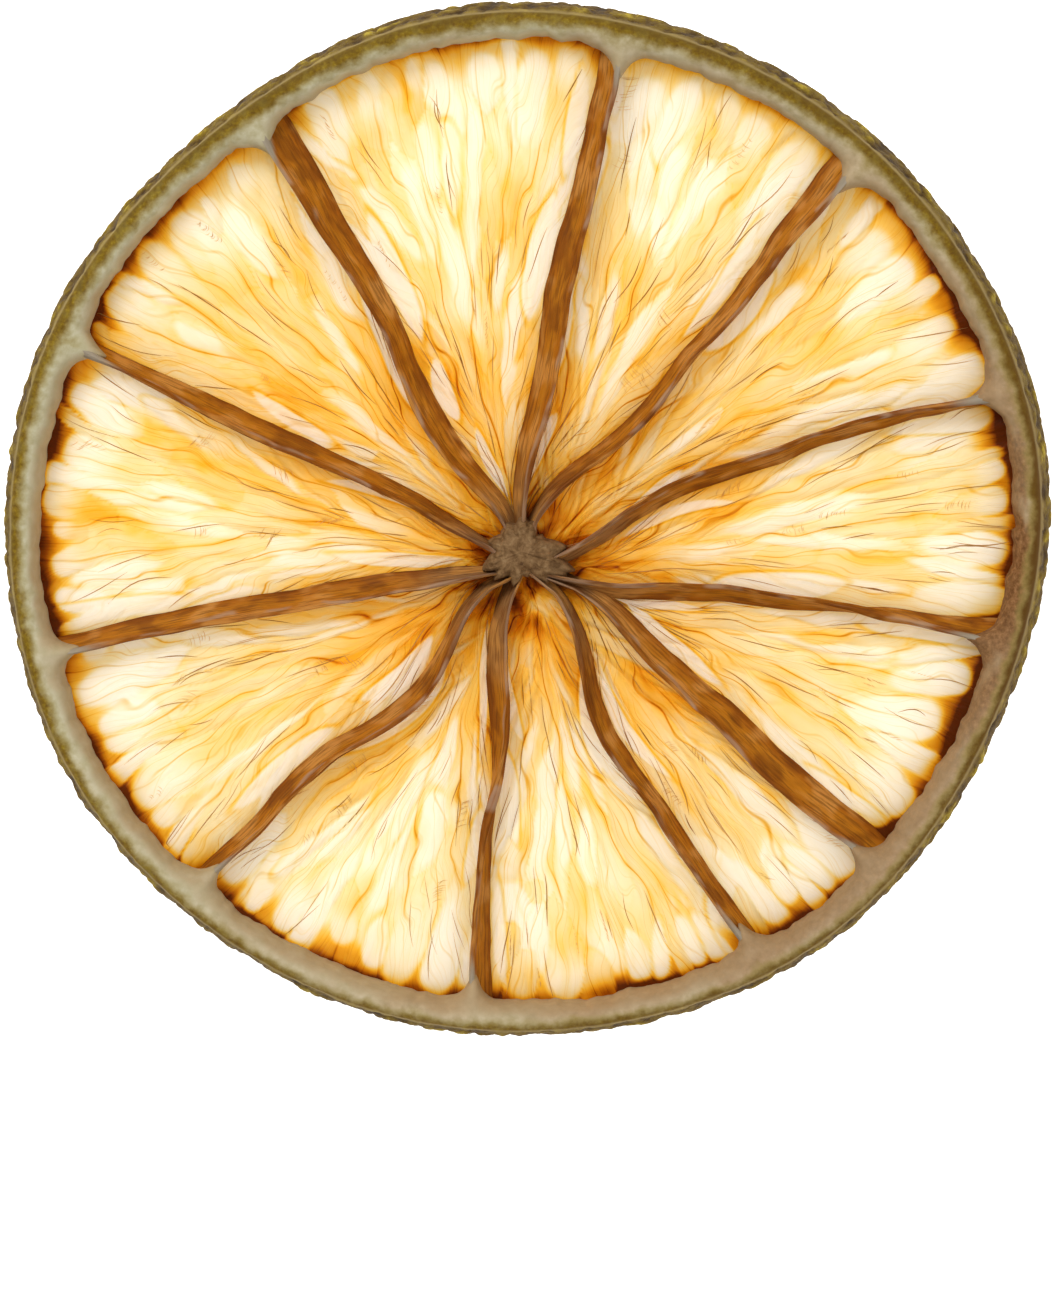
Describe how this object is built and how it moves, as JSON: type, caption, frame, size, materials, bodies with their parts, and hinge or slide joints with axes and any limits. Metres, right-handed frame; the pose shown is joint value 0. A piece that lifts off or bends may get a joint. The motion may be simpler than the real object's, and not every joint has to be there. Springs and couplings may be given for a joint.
{
  "type": "dried lime slice",
  "caption": "Thin round slice of dried citrus with a rind ring, leaning segment walls, a crinkled sheet of pulp and an off-centre core.",
  "frame": {"origin": "centre of the slice's outline in plan, at the height of its back cut face", "axes": "+Z out of the front cut face, +X and +Y to the right and the top of that face"},
  "size_m": [0.044, 0.0436, 0.0035],
  "materials": {
    "dried_lime": "dried fruit: dull olive peel, chalky pale pith and slightly shiny amber pulp"
  },
  "bodies": {
    "root": {"lime_slice": "dried_lime"}
  },
  "joints": []
}
